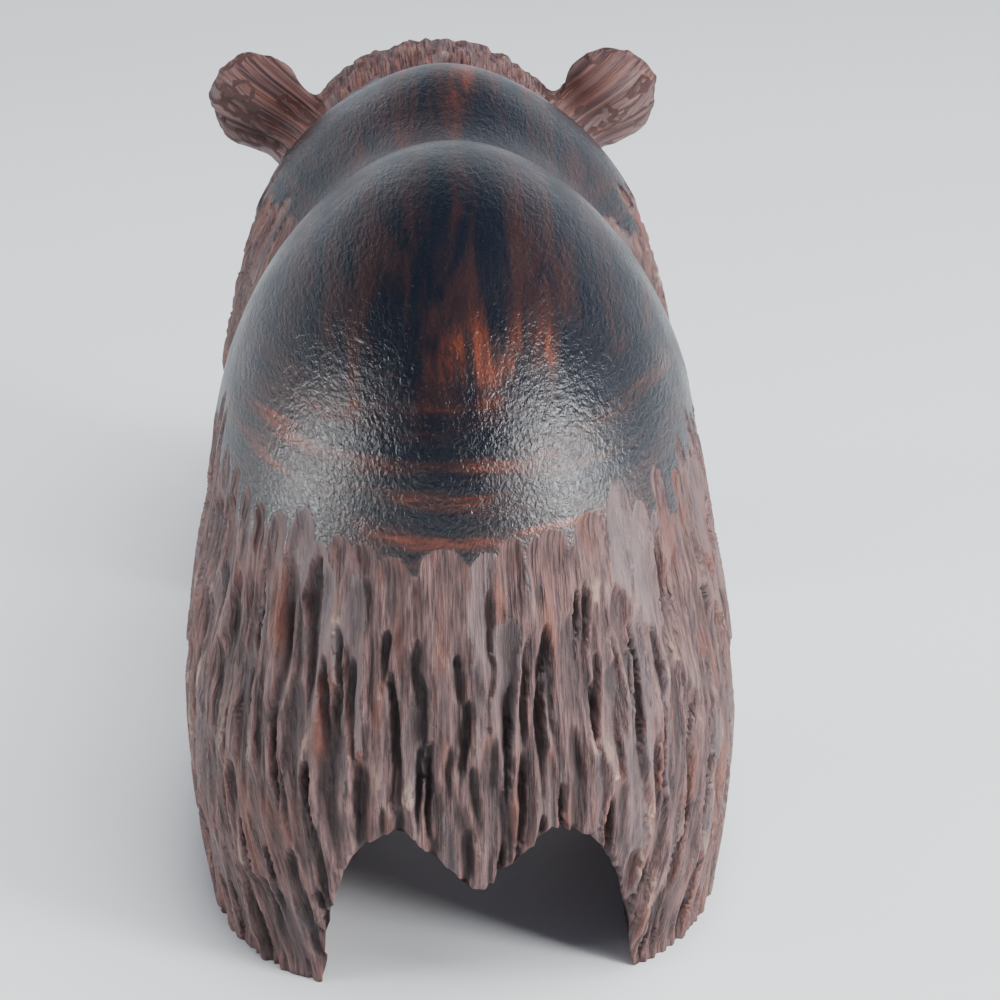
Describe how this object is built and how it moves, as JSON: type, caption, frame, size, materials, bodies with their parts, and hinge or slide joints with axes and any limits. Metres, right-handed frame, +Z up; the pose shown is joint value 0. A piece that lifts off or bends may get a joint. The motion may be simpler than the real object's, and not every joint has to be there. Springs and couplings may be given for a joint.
{
  "type": "bear figurine",
  "caption": "Standing bear figurine carved from one block of dark wood, with a polished back and a gouge-cut coat.",
  "frame": {"origin": "middle of the footprint, on the surface that the soles stand on", "axes": "+Z up; the bear looks along -Y, so +Y points out of its rump and +X out of its left flank"},
  "size_m": [0.0801, 0.1908, 0.1046],
  "materials": {
    "ironwood": "polished on the back, matt where the coat is gouged"
  },
  "bodies": {
    "root": {"bear": "ironwood"}
  },
  "joints": []
}
